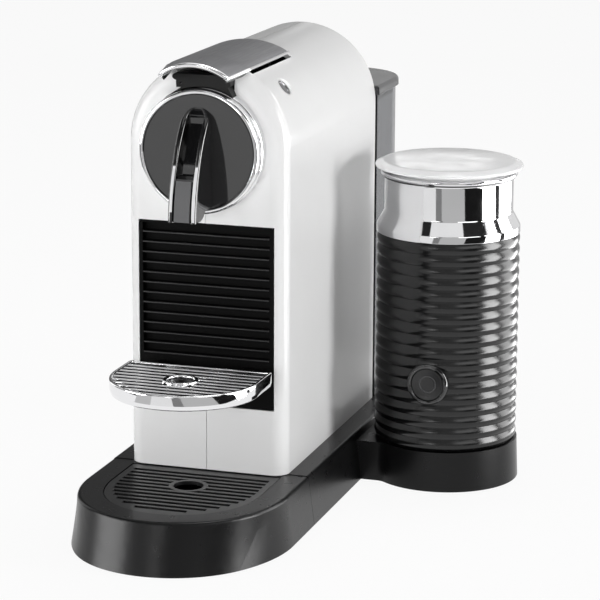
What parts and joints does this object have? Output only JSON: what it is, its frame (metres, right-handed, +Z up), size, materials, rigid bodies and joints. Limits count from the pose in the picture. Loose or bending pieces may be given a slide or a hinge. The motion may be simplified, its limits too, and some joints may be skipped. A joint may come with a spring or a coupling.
{
  "type": "pod coffee machine",
  "caption": "Pod coffee machine with an arched two-shell body, a lift-up lever, a folding cup tray, a rear water tank and a docked milk frother.",
  "frame": {"origin": "middle of the footprint on the surface it stands on", "axes": "+Z up, +Y from the spout to the tank, +X to the side where the frother stands"},
  "size_m": [0.2212, 0.3754, 0.2772],
  "materials": {
    "shell_white": "gloss white",
    "base_black": "satin black",
    "inner_black": "matt black",
    "grid_black": "satin black",
    "gloss_black": "piano black",
    "disc_grey": "gloss dark grey",
    "insert_grey": "gloss grey",
    "bright_chrome": "bright chrome",
    "lever_grey": "satin grey",
    "steel": "plain steel",
    "cast_alloy": "as cast",
    "pump_can": "painted",
    "board_green": "laminate",
    "hose_clear": "silicone",
    "soft_black": "rubber",
    "tank_clear": "smoky clear plastic",
    "lid_clear": "clear plastic",
    "lid_dark": "gloss dark grey",
    "cup_coat": "non-stick coating",
    "button_pale": "satin silver"
  },
  "bodies": {
    "machine": {"base_chassis": "base_black", "base_plate": "inner_black", "base_screws": "steel", "rubber_feet": "soft_black", "cord_gland": "base_black", "shell_left": "shell_white", "shell_right": "shell_white", "rear_cover": "base_black", "head_ring": "bright_chrome", "head_disc": "disc_grey", "spout": "gloss_black", "spout_insert": "insert_grey", "lever_pin": "steel", "capsule_deck": "base_black", "brew_housing": "inner_black", "pierce_plate": "steel", "button_guides": "inner_black", "drawer_bay": "inner_black", "inlet_spigot": "inner_black", "service_frame": "inner_black", "heater_block": "cast_alloy", "water_pump": "pump_can", "pump_mounts": "soft_black", "control_board": "board_green", "flow_meter": "soft_black", "brew_hose": "hose_clear", "pump_hose": "hose_clear", "suction_hoses": "hose_clear", "frother_dock": "base_black", "dock_plate": "inner_black", "dock_plug": "inner_black"},
    "drip_base": {"drip_base": "base_black"},
    "drip_grid": {"drip_grid": "grid_black"},
    "lever": {"lever_frame": "bright_chrome", "lever_inlay": "lever_grey"},
    "capsule_cage": {"capsule_cage": "steel"},
    "button_left": {"button_left": "button_pale"},
    "button_right": {"button_right": "button_pale"},
    "drawer": {"drawer_front": "base_black", "capsule_bin": "inner_black", "cup_hinge_pins": "steel"},
    "cup_tray": {"cup_tray": "bright_chrome", "cup_grid": "bright_chrome"},
    "tank": {"water_tank": "tank_clear", "tank_valve": "inner_black"},
    "tank_lid": {"tank_lid": "lid_dark"},
    "frother": {"frother_sleeve": "base_black", "frother_collar": "bright_chrome", "frother_cup": "cup_coat", "frother_floor": "inner_black", "frother_socket": "inner_black", "frother_motor": "pump_can", "heater_ring": "cast_alloy", "frother_bezel": "gloss_black", "frother_switch": "inner_black"},
    "frother_lid": {"frother_lid": "lid_clear", "lid_seal": "soft_black"},
    "frother_button": {"frother_button": "gloss_black"},
    "drive_magnet": {"drive_magnet": "steel"},
    "whisk": {"frother_whisk": "soft_black"}
  },
  "joints": [
    {"name": "lever_hinge", "type": "hinge", "parent": "machine", "child": "lever", "pos_m": [-0.0454, -0.0099, 0.2685], "axis": [-1, 0, 0], "range_deg": [0, 80]},
    {"name": "cage_slide", "type": "slide", "parent": "machine", "child": "capsule_cage", "axis": [0, 1, 0], "range_m": [0, 0.0181]},
    {"name": "button_left_press", "type": "slide", "parent": "machine", "child": "button_left", "axis": [0.766, 0, -0.6428], "range_m": [0, 0.0012], "stiffness_N_per_m": 400},
    {"name": "button_right_press", "type": "slide", "parent": "machine", "child": "button_right", "axis": [-0.766, 0, -0.6428], "range_m": [0, 0.0012], "stiffness_N_per_m": 400},
    {"name": "drawer_slide", "type": "slide", "parent": "machine", "child": "drawer", "axis": [0, -1, 0], "range_m": [0, 0.11]},
    {"name": "cup_tray_fold", "type": "hinge", "parent": "drawer", "child": "cup_tray", "pos_m": [-0.0454, -0.0894, 0.092], "axis": [-1, 0, 0], "range_deg": [0, 90]},
    {"name": "drip_base_slide", "type": "slide", "parent": "machine", "child": "drip_base", "axis": [0, -1, 0], "range_m": [0, 0.12]},
    {"name": "drip_grid_lift", "type": "slide", "parent": "drip_base", "child": "drip_grid", "axis": [0, 0, 1], "range_m": [0, 0.04]},
    {"name": "tank_lift", "type": "slide", "parent": "machine", "child": "tank", "axis": [0, 0, 1], "range_m": [0, 0.12]},
    {"name": "tank_lid_lift", "type": "slide", "parent": "tank", "child": "tank_lid", "axis": [0, 0, 1], "range_m": [0, 0.06]},
    {"name": "frother_lift", "type": "slide", "parent": "machine", "child": "frother", "axis": [0, 0, 1], "range_m": [0, 0.12]},
    {"name": "frother_lid_lift", "type": "slide", "parent": "frother", "child": "frother_lid", "axis": [0, 0, 1], "range_m": [0, 0.06]},
    {"name": "frother_button_press", "type": "slide", "parent": "frother", "child": "frother_button", "axis": [0, 1, 0], "range_m": [0, 0.0012], "stiffness_N_per_m": 400},
    {"name": "magnet_spin", "type": "hinge", "parent": "frother", "child": "drive_magnet", "pos_m": [0.0646, 0.0606, 0.083], "axis": [0, 0, 1], "continuous": true},
    {"name": "whisk_spin", "type": "hinge", "parent": "frother", "child": "whisk", "pos_m": [0.0646, 0.0606, 0.096], "axis": [0, 0, 1], "continuous": true}
  ],
  "couplings": [
    {"joint": "cage_slide", "follows": "lever_hinge", "m_per_rad": 0.012892},
    {"joint": "whisk_spin", "follows": "magnet_spin", "ratio": 1}
  ]
}
